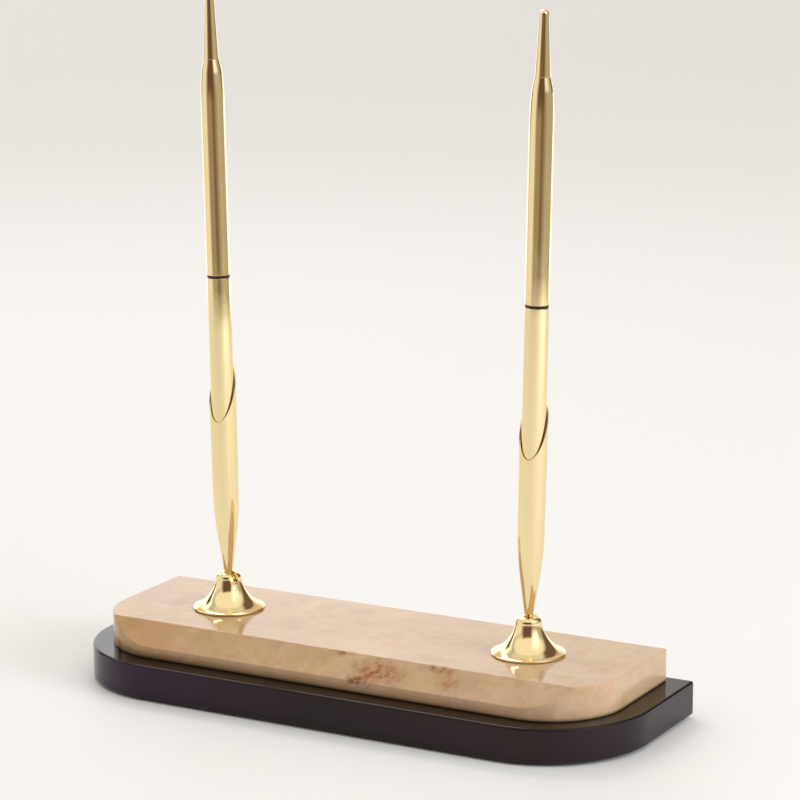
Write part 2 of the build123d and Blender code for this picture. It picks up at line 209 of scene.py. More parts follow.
# Patches of the room, in degrees from the camera's side: turn of its middle, half width, lowest and
# highest rise, soft edge; then its colour and level
WALL_LEVEL = 0.46
ROOM = [
    (0, 200, 58, 110, 16, "#fffaf0", 0.8),      # ceiling
    (0, 100, 30, 110, 18, "#fff8ea", 1.0),      # diffuser over the front
    (-112, 52, -90, 24, 14, "#fff9f0", 0.92),   # left wall
    (172, 50, -90, 22, 8, "#ffffff", 1.5),      # backdrop
    (-146, 33, 6, 46, 14, "#ffffff", 1.75),     # bright panel at the back left
    (-128, 8, -6, 36, 6, "#5c4a22", 0.6),       # edge of that panel
    (68, 54, -90, 22, 14, "#fff6e6", 0.48),     # dim right wall
    (162, 15, 14, 19, 8, "#fff6e6", 0.75),      # dim strip of the backdrop
    (-6, 46, -90, 30, 24, "#a3907d", 1.0),      # dim room behind the camera
    (6, 14, -90, 26, 16, "#806a60", 1.0),       # its darker middle
    (-13, 32, -2, 38, 6, "#6a5048", 1.0),       # dark cloth round the camera
    (50, 22, 14, 62, 30, "#ffffff", 1.5),       # bright panel at the front right
    (127, 19, -3, 60, 10, "#a88a76", 0.42),     # dark gap at the back right
    (180, 32, 24, 70, 12, "#f0d4b8", 0.9),      # top of the backdrop
]
# Softboxes: name, turn from the camera's side, rise, distance, width and height in metres, power, mirrored
SOFTBOXES = [
    ("key_softbox", -165, 49, 1.3, 0.6, 0.2, 2.1, True),
    ("fill_softbox", 60, 18, 1.2, 0.6, 0.6, 6.6, False),
]

SIDES = ("left", "right")
joints = {joint["name"]: joint for joint in frame["joints"]}


def colour(code):
    """Linear RGBA of an sRGB hex colour."""
    shares = [int(code[k:k + 2], 16) / 255 for k in (1, 3, 5)]
    return tuple(c / 12.92 if c <= 0.04045 else ((c + 0.055) / 1.055) ** 2.4 for c in shares) + (1.0,)


def grain(size):
    """Texture scale whose features measure about size millimetres."""
    return 1 / (size * MM)


def add(tree, kind, sockets=None, **settings):
    """Adds a node: settings are its own properties, sockets take a value or another node's output."""
    node = tree.nodes.new("ShaderNode" + kind)
    for name, value in settings.items():
        setattr(node, name, value)
    for name, value in (sockets or {}).items():
        if isinstance(value, bpy.types.NodeSocket):
            tree.links.new(value, node.inputs[name])
        else:
            node.inputs[name].default_value = value
    return node


def new_material(name):
    """Empty material and its node tree."""
    material = bpy.data.materials.new(name)
    material.use_nodes = True
    material.node_tree.nodes.clear()
    return material, material.node_tree


# Materials

def polished_gold_plate():
    """Gold plate on brass, turned and buffed: a mirror with faint turning lines and a little haze."""
    material, tree = new_material("polished_gold_plate")
    place = add(tree, "TexCoord").outputs["Object"]
    haze = add(tree, "TexNoise", {"Vector": place, "Scale": grain(9), "Detail": 4.0}).outputs["Fac"]
    roughness = add(tree, "MapRange", {
        "Value": haze, "From Min": 0.35, "From Max": 0.7, "To Min": 0.06, "To Max": 0.13}).outputs["Result"]
    # Turning lines are finer than a pixel on the real pen, so they are drawn 0.25 mm apart to show
    along = add(tree, "Mapping", {"Vector": place, "Scale": (0.05, 0.05, 1.0)}).outputs["Vector"]
    lines = add(tree, "TexNoise", {"Vector": along, "Scale": grain(0.25), "Detail": 2.0}).outputs["Fac"]
    bump = add(tree, "Bump", {"Height": lines, "Strength": 0.02, "Distance": 0.02 * MM}).outputs["Normal"]
    shader = add(tree, "BsdfPrincipled", {
        "Base Color": colour("#f9e5b2"), "Metallic": 1.0, "Roughness": roughness, "Normal": bump})
    add(tree, "OutputMaterial", {"Surface": shader.outputs["BSDF"]})
    return material


def polished_onyx():
    """Polished beige onyx: clouds of cream, ochre and pink, a fine grain, and rust-brown iron stains."""
    material, tree = new_material("polished_onyx")
    place = add(tree, "TexCoord").outputs["Object"]
    spot = add(tree, "SeparateXYZ", {0: place}).outputs
    # The body grows paler to the right; clouds and the sugary grain each come from their own noise
    to_right = add(tree, "MapRange", {
        "Value": spot["X"], "From Min": -90 * MM, "From Max": 80 * MM}).outputs["Result"]
    body = add(tree, "Mix", {
        0: to_right, 6: colour("#bf9a67"), 7: colour("#cab08f")}, data_type="RGBA").outputs[2]
    for size, slice_at, low, high, most, tone in ONYX_CLOUDS:
        noise = add(tree, "TexNoise", {
            "Vector": place, "W": slice_at, "Scale": grain(size), "Detail": 6.0, "Roughness": 0.62},
            noise_dimensions="4D").outputs["Fac"]
        share = add(tree, "MapRange", {
            "Value": noise, "From Min": low, "From Max": high, "To Max": most}).outputs["Result"]
        body = add(tree, "Mix", {0: share, 6: body, 7: colour(tone)}, data_type="RGBA").outputs[2]
    # Painted shade along the foot of the wall, darker towards the bottom and running out towards the right;
    # at the very foot a dark ground edge with painted contact shade
    painted_foot_shade = add(tree, "MapRange", {
        "Value": spot["Z"], "From Min": 16 * MM, "From Max": 12.5 * MM, "To Max": 0.58},
        interpolation_type="SMOOTHSTEP").outputs["Result"]
    foot_shade_runs_out = add(tree, "MapRange", {
        "Value": spot["X"], "From Min": 70 * MM, "From Max": -70 * MM}).outputs["Result"]
    share = add(tree, "Math", {0: painted_foot_shade, 1: foot_shade_runs_out}, operation="MULTIPLY").outputs[0]
    body = add(tree, "Mix", {0: share, 6: body, 7: colour("#452a14")}, data_type="RGBA").outputs[2]
    # Ground edge with painted contact shade: near black over the lowest 1.4 mm of the slab
    ground_edge_and_shade = add(tree, "MapRange", {
        "Value": spot["Z"], "From Min": 13.9 * MM, "From Max": 12.5 * MM, "To Max": 0.76},
        interpolation_type="SMOOTHSTEP").outputs["Result"]
    body = add(tree, "Mix", {0: ground_edge_and_shade, 6: body, 7: colour("#1c1008")}, data_type="RGBA").outputs[2]
    # Iron stains: each fades out from its middle, strays from its oval and is broken up into specks
    ragged = add(tree, "TexNoise", {
        "Vector": place, "Scale": grain(5), "Detail": 5.0, "Roughness": 0.65}).outputs["Color"]
    drift = add(tree, "VectorMath", {0: ragged, 1: (0.5, 0.5, 0.5)}, operation="SUBTRACT").outputs["Vector"]
    shift = add(tree, "VectorMath", {0: drift, "Scale": 7 * MM}, operation="SCALE").outputs["Vector"]
    strayed = add(tree, "VectorMath", {0: place, 1: shift}, operation="ADD").outputs["Vector"]
    specks = add(tree, "TexNoise", {
        "Vector": place, "Scale": grain(2.4), "Detail": 4.0, "Roughness": 0.65}).outputs["Fac"]
    broken = add(tree, "MapRange", {
        "Value": specks, "From Min": 0.4, "From Max": 0.6, "To Min": 0.3}).outputs["Result"]
    for middle, size, most, tone in ONYX_STAINS:
        flat = add(tree, "Mapping", {
            "Vector": strayed, "Location": Vector(middle) * MM,
            "Scale": Vector(size) * MM}, vector_type="TEXTURE").outputs["Vector"]
        away = add(tree, "VectorMath", {0: flat}, operation="LENGTH").outputs["Value"]
        fade = add(tree, "MapRange", {
            "Value": away, "From Min": 1.0, "From Max": 0.15, "To Max": most},
            interpolation_type="SMOOTHSTEP").outputs["Result"]
        share = add(tree, "Math", {0: fade, 1: broken}, operation="MULTIPLY").outputs[0]
        body = add(tree, "Mix", {0: share, 6: body, 7: colour(tone)}, data_type="RGBA").outputs[2]
    buffing = add(tree, "TexNoise", {
        "Vector": place, "Scale": grain(40), "Detail": 6.0, "Roughness": 0.6}).outputs["Fac"]
    roughness = add(tree, "MapRange", {
        "Value": buffing, "From Min": 0.3, "From Max": 0.7, "To Min": 0.08, "To Max": 0.15}).outputs["Result"]
    shader = add(tree, "BsdfPrincipled", {
        "Base Color": body, "Roughness": roughness, "IOR": 1.5, "Specular IOR Level": 0.42})
    add(tree, "OutputMaterial", {"Surface": shader.outputs["BSDF"]})
    return material


def polished_dark_acrylic():
    """Cast acrylic, near black and mirror smooth, with painted light: a plum glow painted along its length
    where light falls in from the side, and painted brown shade on the faces that look up.
    """
    material, tree = new_material("polished_dark_acrylic")
    place = add(tree, "TexCoord").outputs["Object"]
    along = add(tree, "SeparateXYZ", {0: place}).outputs["X"]
    # Plum base with a painted glow along the length, standing in for light that falls in through the sides
    body = colour("#2d1034")
    for start, end, tone in ACRYLIC_PAINTED_GLOW:
        share = add(tree, "MapRange", {
            "Value": along, "From Min": start * MM, "From Max": end * MM}).outputs["Result"]
        body = add(tree, "Mix", {0: share, 6: body, 7: colour(tone)}, data_type="RGBA").outputs[2]
    # Painted shade: faces that look up are made a darker brown than the sides
    normal = add(tree, "NewGeometry").outputs["Normal"]
    upward = add(tree, "SeparateXYZ", {0: normal}).outputs["Z"]
    level = add(tree, "MapRange", {"Value": upward, "From Min": 0.5, "From Max": 0.9}).outputs["Result"]
    body = add(tree, "Mix", {0: level, 6: body, 7: colour("#140802")}, data_type="RGBA").outputs[2]
    smears = add(tree, "TexNoise", {"Vector": place, "Scale": grain(30), "Detail": 3.0}).outputs["Fac"]
    roughness = add(tree, "MapRange", {
        "Value": smears, "From Min": 0.4, "From Max": 0.7, "To Min": 0.02, "To Max": 0.07}).outputs["Result"]
    shader = add(tree, "BsdfPrincipled", {
        "Base Color": body, "Roughness": roughness, "IOR": 1.49, "Specular IOR Level": 0.3})
    add(tree, "OutputMaterial", {"Surface": shader.outputs["BSDF"]})
    return material


def pressed_felt():
    """Dark green wool felt, pressed: matt, with short tangled fibres and a soft sheen."""
    material, tree = new_material("pressed_felt")
    place = add(tree, "TexCoord").outputs["Object"]
    fibres = add(tree, "TexNoise", {
        "Vector": place, "Scale": grain(0.5), "Detail": 6.0, "Roughness": 0.75}).outputs["Fac"]
    tone = add(tree, "Mix", {
        0: fibres, 6: colour("#14281d"), 7: colour("#2b4a38")}, data_type="RGBA").outputs[2]
    bump = add(tree, "Bump", {"Height": fibres, "Strength": 0.6, "Distance": 0.2 * MM}).outputs["Normal"]
    shader = add(tree, "BsdfPrincipled", {
        "Base Color": tone, "Roughness": 0.95, "Sheen Weight": 0.3, "Normal": bump})
    add(tree, "OutputMaterial", {"Surface": shader.outputs["BSDF"]})
    return material


def black_acetal():
    """Moulded black acetal: the pen's centre ring, a warm black with a satin gloss."""
    material, tree = new_material("black_acetal")
    place = add(tree, "TexCoord").outputs["Object"]
    mould = add(tree, "TexNoise", {"Vector": place, "Scale": grain(0.8), "Detail": 3.0}).outputs["Fac"]
    tone = add(tree, "Mix", {
        0: mould, 6: colour("#2a1608"), 7: colour("#3d2510")}, data_type="RGBA").outputs[2]
    roughness = add(tree, "MapRange", {
        "Value": mould, "To Min": 0.2, "To Max": 0.35}).outputs["Result"]
    shader = add(tree, "BsdfPrincipled", {"Base Color": tone, "Roughness": roughness, "IOR": 1.48})
    add(tree, "OutputMaterial", {"Surface": shader.outputs["BSDF"]})
    return material


def zinc_plated_steel():
    """Bright zinc on steel: screws and washers, grey with a slightly blotchy plating."""
    material, tree = new_material("zinc_plated_steel")
    place = add(tree, "TexCoord").outputs["Object"]
    plating = add(tree, "TexNoise", {"Vector": place, "Scale": grain(1.5), "Detail": 4.0}).outputs["Fac"]
    tone = add(tree, "Mix", {
        0: plating, 6: colour("#a9adb2"), 7: colour("#c9cbcc")}, data_type="RGBA").outputs[2]
    roughness = add(tree, "MapRange", {
        "Value": plating, "To Min": 0.2, "To Max": 0.4}).outputs["Result"]
    shader = add(tree, "BsdfPrincipled", {"Base Color": tone, "Metallic": 1.0, "Roughness": roughness})
    add(tree, "OutputMaterial", {"Surface": shader.outputs["BSDF"]})
    return material


def turned_brass():
    """Bare brass as it left the lathe: the bushes, sleeves and refill points, with visible tool lines."""
    material, tree = new_material("turned_brass")
    place = add(tree, "TexCoord").outputs["Object"]
    along = add(tree, "Mapping", {"Vector": place, "Scale": (0.05, 0.05, 1.0)}).outputs["Vector"]
    lines = add(tree, "TexNoise", {"Vector": along, "Scale": grain(0.2), "Detail": 2.0}).outputs["Fac"]
    tone = add(tree, "Mix", {
        0: lines, 6: colour("#b5944f"), 7: colour("#d0b26c")}, data_type="RGBA").outputs[2]
    bump = add(tree, "Bump", {"Height": lines, "Strength": 0.15, "Distance": 0.05 * MM}).outputs["Normal"]
    shader = add(tree, "BsdfPrincipled", {
        "Base Color": tone, "Metallic": 1.0, "Roughness": 0.28, "Normal": bump})
    add(tree, "OutputMaterial", {"Surface": shader.outputs["BSDF"]})
    return material


def natural_nylon():
    """Moulded natural nylon: seats, holders and refill tubes, milky with a waxy gloss."""
    material, tree = new_material("natural_nylon")
    place = add(tree, "TexCoord").outputs["Object"]
    milk = add(tree, "TexNoise", {"Vector": place, "Scale": grain(1.2), "Detail": 3.0}).outputs["Fac"]
    tone = add(tree, "Mix", {
        0: milk, 6: colour("#d9d5c6"), 7: colour("#eae7dc")}, data_type="RGBA").outputs[2]
    shader = add(tree, "BsdfPrincipled", {"Base Color": tone, "Roughness": 0.45, "IOR": 1.53})
    add(tree, "OutputMaterial", {"Surface": shader.outputs["BSDF"]})
    return material


# Tools for the pieces

def take_up(piece):
    """Selects this piece alone and makes it the active one."""
    bpy.ops.object.select_all(action="DESELECT")
    piece.select_set(True)
    bpy.context.view_layer.objects.active = piece


def begin_edit(piece):
    """Opens all of the piece's mesh for editing."""
    take_up(piece)
    bpy.ops.object.mode_set(mode="EDIT")
    bpy.ops.mesh.select_mode(type="VERT")
    bpy.ops.mesh.select_all(action="SELECT")


def end_edit():
    """Welds doubled points, turns the faces outwards and closes the mesh."""
    bpy.ops.mesh.select_all(action="SELECT")
    bpy.ops.mesh.remove_doubles(threshold=WELD)
    bpy.ops.mesh.normals_make_consistent(inside=False)
    bpy.ops.object.mode_set(mode="OBJECT")


def apply_modifier(piece, kind, **settings):
    """Adds a modifier to the piece and applies it."""
    take_up(piece)
    modifier = piece.modifiers.new(kind.lower(), kind)
    for name, value in settings.items():
        setattr(modifier, name, value)
    bpy.ops.object.modifier_apply(modifier=modifier.name)


def ease_edges(piece, width, angle):
    """Rounds the edges that are sharper than an angle in degrees."""
    apply_modifier(
        piece, "BEVEL", width=width * MM, segments=EASE_STEPS,
        limit_method="ANGLE", angle_limit=radians(angle))


def cut_away(piece, cutter):
    """Takes the cutter's shape out of the piece."""
    apply_modifier(piece, "BOOLEAN", operation="DIFFERENCE", solver="EXACT", object=cutter)
    bpy.data.objects.remove(cutter)


def round_rod(radius, bottom, top, centre=(0, 0)):
    """Upright rod for cutting a hole, its ends and centre in metres."""
    bpy.ops.object.select_all(action="DESELECT")
    bpy.ops.mesh.primitive_cylinder_add(
        vertices=SPIN_STEPS // 2, radius=radius * MM, depth=top - bottom,
        location=(centre[0], centre[1], (top + bottom) / 2))
    bpy.ops.object.transform_apply(location=True, rotation=True, scale=True)
    return bpy.context.object


def turned_piece(name, outline):
    """Draws a half outline of (radius, height) points by extruding one point on, and spins it about Z."""
    bpy.ops.object.select_all(action="DESELECT")
    bpy.ops.mesh.primitive_plane_add(size=MM)
    piece = bpy.context.object
    piece.name = name
    piece.data.name = name
    begin_edit(piece)
    bpy.ops.mesh.merge(type="CENTER")
    points = [Vector((radius, 0, height)) * MM for radius, height in outline]
    bpy.ops.transform.translate(value=points[0])
    for here, there in zip(points, points[1:]):
        bpy.ops.mesh.extrude_vertices_move(TRANSFORM_OT_translate={"value": there - here})
    bpy.ops.mesh.select_all(action="SELECT")
    bpy.ops.mesh.spin(steps=SPIN_STEPS, angle=2 * pi, center=(0, 0, 0), axis=(0, 0, 1))
    end_edit()
    return piece


def arc(centre_r, centre_height, radius, start, end):
    """Outline points on an arc from start to end, in degrees from the outward direction."""
    turns = [radians(start + (end - start) * k / ARC_STEPS) for k in range(ARC_STEPS + 1)]
    return [(centre_r + radius * cos(turn), centre_height + radius * sin(turn)) for turn in turns]


def sweep(start, tangent, end):
    """Outline points after start on the arc that leaves it along tangent and ends at end."""
    start, along, chord = Vector(start), Vector(tangent).normalized(), Vector(end) - Vector(start)
    across = Vector((-along.y, along.x))
    centre = start + across * chord.length_squared / (2 * chord.dot(across))
    turn = 2 * atan2(chord.dot(across), chord.dot(along))
    steps = range(1, ARC_STEPS + 1)
    return [tuple(centre + Matrix.Rotation(turn * k / ARC_STEPS, 2) @ (start - centre)) for k in steps]


def flare(points):
    """Outline points on the cubic curve with these four control points."""
    a, b, c, d = map(Vector, points)
    shares = [k / (2 * ARC_STEPS) for k in range(2 * ARC_STEPS + 1)]
    return [tuple(a * (1 - t) ** 3 + b * 3 * t * (1 - t) ** 2 + c * 3 * t * t * (1 - t) + d * t ** 3)
            for t in shares]


def dress(piece, node, slot):
    """Gives a finished piece its place in the model and its finish."""
    take_up(piece)
    bpy.ops.object.transform_apply(location=True, rotation=True, scale=True)
    bpy.ops.object.shade_smooth_by_angle(angle=radians(SHARP_ANGLE))
    apply_modifier(piece, "WEIGHTED_NORMAL", keep_sharp=True)
    piece.data.materials.clear()
    piece.data.materials.append(finishes[slot])
    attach(piece, frame["nodes"][node]["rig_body"])
    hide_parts(node)


# Base pieces

def rounded_block(name, low, high, corner_r):
    """Block with square back corners and two round front corners."""
    bpy.ops.object.select_all(action="DESELECT")
    bpy.ops.mesh.primitive_cube_add(size=1, location=(low + high) / 2, scale=high - low)
    bpy.ops.object.transform_apply(location=True, rotation=True, scale=True)
    block = bpy.context.object
    block.name = name
    block.data.name = name
    begin_edit(block)
    bpy.ops.mesh.select_mode(type="EDGE")
    bpy.ops.mesh.select_all(action="DESELECT")
    bpy.ops.object.mode_set(mode="OBJECT")
    for edge in block.data.edges:
        ends = [block.data.vertices[v].co for v in edge.vertices]
        upright = abs(ends[0].z - ends[1].z) > (high.z - low.z) / 2
        edge.select = upright and ends[0].y < (low.y + high.y) / 2
    bpy.ops.object.mode_set(mode="EDIT")
    bpy.ops.mesh.bevel(offset=corner_r * MM, segments=CORNER_STEPS, profile=0.5, affect="EDGES")
    end_edit()
    return block


def screw_place(side):
    """Middle of a bell's mounting screw, seen from above."""
    return joints[side + "_bell_swivel"]["pos_m"][:2]


def make_slab():
    """Onyx slab with the facet along its front edge and the two screw holes."""
    low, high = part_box("stone_slab")
    slab = rounded_block("onyx_slab", low, high, SLAB_CORNER_R)
    begin_edit(slab)
    bpy.ops.mesh.bisect(
        plane_co=(0, low.y, high.z - FACET_DROP * MM),
        plane_no=Vector((0, -FACET_DROP, FACET_RUN)).normalized(),
        use_fill=True, clear_outer=True, threshold=CUT_NEAR)
    end_edit()
    ease_edges(slab, SLAB_EASE, EASE_ANGLE)
    for side in SIDES:
        hole = round_rod(SCREW_HOLE_R, low.z - CUT_OVER * MM, high.z + CUT_OVER * MM, screw_place(side))
        cut_away(slab, hole)
    dress(slab, "stone_slab", "stone")


def make_plinth():
    """Acrylic plinth with the screw holes and the washers' recesses from below."""
    low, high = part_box("plinth")
    plinth = rounded_block("acrylic_plinth", low, high, PLINTH_CORNER_R)
    ease_edges(plinth, PLINTH_EASE, EASE_ANGLE)
    recess_top = low.z + WASHER_RECESS_DEPTH * MM
    for side in SIDES:
        recess = round_rod(WASHER_RECESS_R, low.z - CUT_OVER * MM, recess_top, screw_place(side))
        cut_away(plinth, recess)
        hole = round_rod(SCREW_HOLE_R, low.z, high.z + CUT_OVER * MM, screw_place(side))
        cut_away(plinth, hole)
    dress(plinth, "plinth", "dark_acrylic")


def make_felt():
    """Felt sheet under the plinth."""
    low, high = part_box("felt_pad")
    pad = rounded_block("felt_sheet", low, high, PLINTH_CORNER_R - FELT_INSET)
    ease_edges(pad, FELT_EASE, EASE_ANGLE)
    dress(pad, "felt_pad", "felt")


# Bells

def make_bell(side):
    """Trumpet bell with a round crown, the ball's socket, and the slot that lets the funnel tilt."""
    rim_round = (BELL_RIM - BELL_GAP) / 2
    rim_r = BELL_FLANGE_R - rim_round
    crown_turn = BELL_HEIGHT - CROWN_ROUND
    ball_height = BELL_HEIGHT - SOCKET_ROOF - SOCKET_R
    recess_top = BELL_GAP + BELL_RECESS_DEPTH
    outline = [(0, BELL_HEIGHT)]
    outline += arc(CROWN_R - CROWN_ROUND, crown_turn, CROWN_ROUND, 90, 0)
    outline += flare([
        (CROWN_R, crown_turn), (CROWN_R + FLARE_CROWN_REACH, crown_turn - FLARE_CROWN_PULL),
        (rim_r - FLARE_FOOT_REACH, BELL_RIM + FLARE_FOOT_RISE), (rim_r, BELL_RIM)])
    outline += arc(rim_r, BELL_GAP + rim_round, rim_round, 90, -90)
    outline += [
        (BELL_FLANGE_R - BELL_FOOT_WIDTH, BELL_GAP), (BELL_FLANGE_R - BELL_FOOT_WIDTH, recess_top),
        (BELL_BOSS_R, recess_top), (BELL_BOSS_R, BELL_GAP), (SOCKET_R, BELL_GAP)]
    outline += arc(0, ball_height, SOCKET_R, 0, 90)
    bell = turned_piece(side + "_gold_bell", outline)
    ball = Vector((0, 0, ball_height * MM))
    cut_away(bell, round_rod(SLOT_R, ball.z, 2 * BELL_HEIGHT * MM))
    leaning = round_rod(SLOT_R, 0, BELL_HEIGHT * MM)
    leaning.rotation_euler = (0, radians(TILT_MAX), radians(SLOT_TURN[side]))
    leaning.location = ball
    cut_away(bell, leaning)
    cut_away(bell, tilt_sector(side, ball))
    bell.location = joints[side + "_bell_swivel"]["pos_m"]
    dress(bell, side + "_bell", "gold_plate")


def tilt_sector(side, ball):
    """Sector between upright and the full tilt, as wide as the slot, for cutting the slot in the crown."""
    bpy.ops.object.select_all(action="DESELECT")
    bpy.ops.mesh.primitive_cylinder_add(
        vertices=SPIN_STEPS, radius=BELL_HEIGHT * MM, depth=2 * SLOT_R * MM, rotation=(pi / 2, 0, 0))
    bpy.ops.object.transform_apply(location=True, rotation=True, scale=True)
    sector = bpy.context.object
    begin_edit(sector)
    low_edge = radians(TILT_MAX)
    for facing in ((-1, 0, 0), (cos(low_edge), 0, -sin(low_edge))):
        bpy.ops.mesh.select_all(action="SELECT")
        bpy.ops.mesh.bisect(
            plane_co=(0, 0, 0), plane_no=facing, use_fill=True, clear_outer=True, threshold=CUT_NEAR)
    end_edit()
    sector.rotation_euler = (0, 0, radians(SLOT_TURN[side]))
    sector.location = ball
    return sector


# Funnels and pens

def stand_on_ball(piece, side):
    """Leans a piece drawn about Z on to its pen's axis, with height 0 at the ball's centre."""
    axis = Vector(joints[side + "_pen_lift"]["axis"])
    piece.rotation_euler = (0, atan2(axis.x, axis.z), 0)
    piece.location = joints[side + "_funnel_tilt"]["pos_m"]


def make_funnel(side):
    """Tapered sheath with an oblique mouth, drawn as a sheet and then given its wall."""
    cone_slope = (CONE_R - NECK_R) / (CONE_TOP - NECK_TOP)
    foot = (BALL_R ** 2 - NECK_R ** 2) ** 0.5
    mouth_top = MOUTH_MIDDLE + MOUTH_RISE
    outline = [(NECK_R, foot), (NECK_R, NECK_TOP), (CONE_R, CONE_TOP)]
    outline += sweep((CONE_R, CONE_TOP), (cone_slope, 1), (SHOULDER_R, SHOULDER))
    outline += [(MOUTH_R, mouth_top + CUT_OVER)]
    funnel = turned_piece(side + "_gold_funnel", outline)
    slope = MOUTH_RISE / MOUTH_R
    high_side = radians(MOUTH_HIGH_SIDE)
    facing = Vector((-slope * cos(high_side), -slope * sin(high_side), 1)).normalized()
    begin_edit(funnel)
    bpy.ops.mesh.bisect(
        plane_co=(0, 0, MOUTH_MIDDLE * MM), plane_no=facing, clear_outer=True, threshold=CUT_NEAR)
    end_edit()
    # The wall thickens from the shoulder to the mouth, so that the bore stays close to the pen
    wall = funnel.vertex_groups.new(name="wall")
    for vertex in funnel.data.vertices:
        share = (vertex.co.z / MM - SHOULDER) / (mouth_top - SHOULDER)
        wall.add([vertex.index], max(share, 0), "REPLACE")
    apply_modifier(
        funnel, "SOLIDIFY", thickness=MOUTH_WALL * MM, offset=-1,
        vertex_group="wall", thickness_vertex_group=FUNNEL_WALL / MOUTH_WALL)
    funnel.vertex_groups.clear()
    ease_edges(funnel, LIP_ROUND, LIP_ANGLE)
    stand_on_ball(funnel, side)
    dress(funnel, side + "_funnel", "gold_plate")


def make_nose_cone(side):
    """Nose cone with the refill's bore and the spigot that goes in the lower barrel."""
    outline = [
        (NOSE_BORE_R, NOSE_END), (NOSE_R - NOSE_EASE, NOSE_END), (NOSE_R, NOSE_END + NOSE_EASE),
        (NOSE_JOINT_R, NOSE_JOINT), (NOSE_SPIGOT_R, NOSE_JOINT), (NOSE_SPIGOT_R, NOSE_SPIGOT_TOP),
        (REFILL_WAY_R, NOSE_SPIGOT_TOP), (REFILL_WAY_R, NOSE_BORE_TOP), (NOSE_BORE_R, NOSE_BORE_TOP),
        (NOSE_BORE_R, NOSE_END)]
    cone = turned_piece(side + "_gold_nose_cone", outline)
    stand_on_ball(cone, side)
    dress(cone, side + "_pen_nose_cone", "gold_plate")


def make_lower_barrel(side):
    """Lower barrel, tapered at the nose and bored for the twist mechanism."""
    outline = [(NOSE_SPIGOT_R, NOSE_JOINT), (NOSE_JOINT_R, NOSE_JOINT), (PEN_R, SHOULDER)]
    outline += arc(PEN_R - TUBE_END_ROUND, RING_BOTTOM - TUBE_END_ROUND, TUBE_END_ROUND, 0, 90)
    outline += [
        (PEN_BORE_R, RING_BOTTOM), (PEN_BORE_R, SHOULDER), (NOSE_SPIGOT_R, SHOULDER),
        (NOSE_SPIGOT_R, NOSE_JOINT)]
    barrel = turned_piece(side + "_gold_lower_barrel", outline)
    stand_on_ball(barrel, side)
    dress(barrel, side + "_pen_lower_barrel", "gold_plate")


def make_centre_ring(side):
    """Dark ring between the two halves of the pen."""
    outline = [(RING_BORE_R, RING_BOTTOM)]
    outline += arc(RING_R - RING_ROUND, RING_BOTTOM + RING_ROUND, RING_ROUND, -90, 0)
    outline += arc(RING_R - RING_ROUND, RING_TOP - RING_ROUND, RING_ROUND, 0, 90)
    outline += [(RING_BORE_R, RING_TOP), (RING_BORE_R, RING_BOTTOM)]
    ring = turned_piece(side + "_centre_ring", outline)
    stand_on_ball(ring, side)
    dress(ring, side + "_pen_centre_ring", "black_ring")


def make_upper_barrel(side):
    """Upper barrel with its rounded taper, shoulder and the hole for the tail's spigot."""
    outline = [(PEN_BORE_R, UPPER_BOTTOM)]
    outline += arc(PEN_R - TUBE_END_ROUND, UPPER_BOTTOM + TUBE_END_ROUND, TUBE_END_ROUND, -90, 0)
    outline += [(PEN_R, TAPER_START)]
    outline += sweep((PEN_R, TAPER_START), (0, 1), (TAPER_END_R, TAPER_END))
    outline += [
        (TAIL_JOINT_R, TAIL_JOINT), (TAIL_SPIGOT_R, TAIL_JOINT), (TAIL_SPIGOT_R, TAIL_SPIGOT_BOTTOM),
        (0, TAIL_SPIGOT_BOTTOM), (0, TAPER_START), (PEN_BORE_R, TAPER_START), (PEN_BORE_R, UPPER_BOTTOM)]
    barrel = turned_piece(side + "_gold_upper_barrel", outline)
    stand_on_ball(barrel, side)
    dress(barrel, side + "_pen_upper_barrel", "gold_plate")


def make_tail(side):
    """Tapered tail with a round end and a spigot."""
    outline = [(0, TAIL_SPIGOT_BOTTOM), (TAIL_SPIGOT_R, TAIL_SPIGOT_BOTTOM), (TAIL_SPIGOT_R, TAIL_JOINT)]
    outline += arc(TAIL_JOINT_R - TAIL_JOINT_ROUND, TAIL_JOINT + TAIL_JOINT_ROUND, TAIL_JOINT_ROUND, -90, 0)
    outline += arc(0, TAIL_END - TAIL_END_R, TAIL_END_R, 0, 90)
    tail = turned_piece(side + "_gold_tail", outline)
    stand_on_ball(tail, side)
    dress(tail, side + "_pen_tail", "gold_plate")


# Room, lamps and camera

def heading(turn, rise):
    """Direction from the stand, by its turn from straight ahead and its rise, in degrees."""
    turn, rise = radians(turn), radians(rise)
    return Vector((sin(turn) * cos(rise), -cos(turn) * cos(rise), sin(rise)))


def make_floor():
    """Pale studio floor. Polished metal mirrors it near the stand, and the room beyond that."""
    bpy.ops.object.select_all(action="DESELECT")
    bpy.ops.mesh.primitive_plane_add(size=FLOOR_SIDE)
    floor = bpy.context.object
    floor.name = "studio_floor"
    material, tree = new_material("pale_paper")
    place = add(tree, "TexCoord").outputs["Object"]
    away = add(tree, "VectorMath", {0: place}, operation="LENGTH").outputs["Value"]
    beyond = add(tree, "MapRange", {
        "Value": away, "From Min": FLOOR_REACH - FLOOR_REACH_SOFT,
        "From Max": FLOOR_REACH + FLOOR_REACH_SOFT}, interpolation_type="SMOOTHSTEP").outputs["Result"]
    mirrored = add(tree, "LightPath").outputs["Is Glossy Ray"]
    open_share = add(tree, "Math", {0: mirrored, 1: beyond}, operation="MULTIPLY").outputs[0]
    paper = add(tree, "BsdfPrincipled", {"Base Color": colour("#f2f5f9"), "Roughness": 0.6}).outputs["BSDF"]
    clear = add(tree, "BsdfTransparent").outputs["BSDF"]
    surface = add(tree, "MixShader", {0: open_share, 1: paper, 2: clear}).outputs["Shader"]
    add(tree, "OutputMaterial", {"Surface": surface})
    floor.data.materials.append(material)


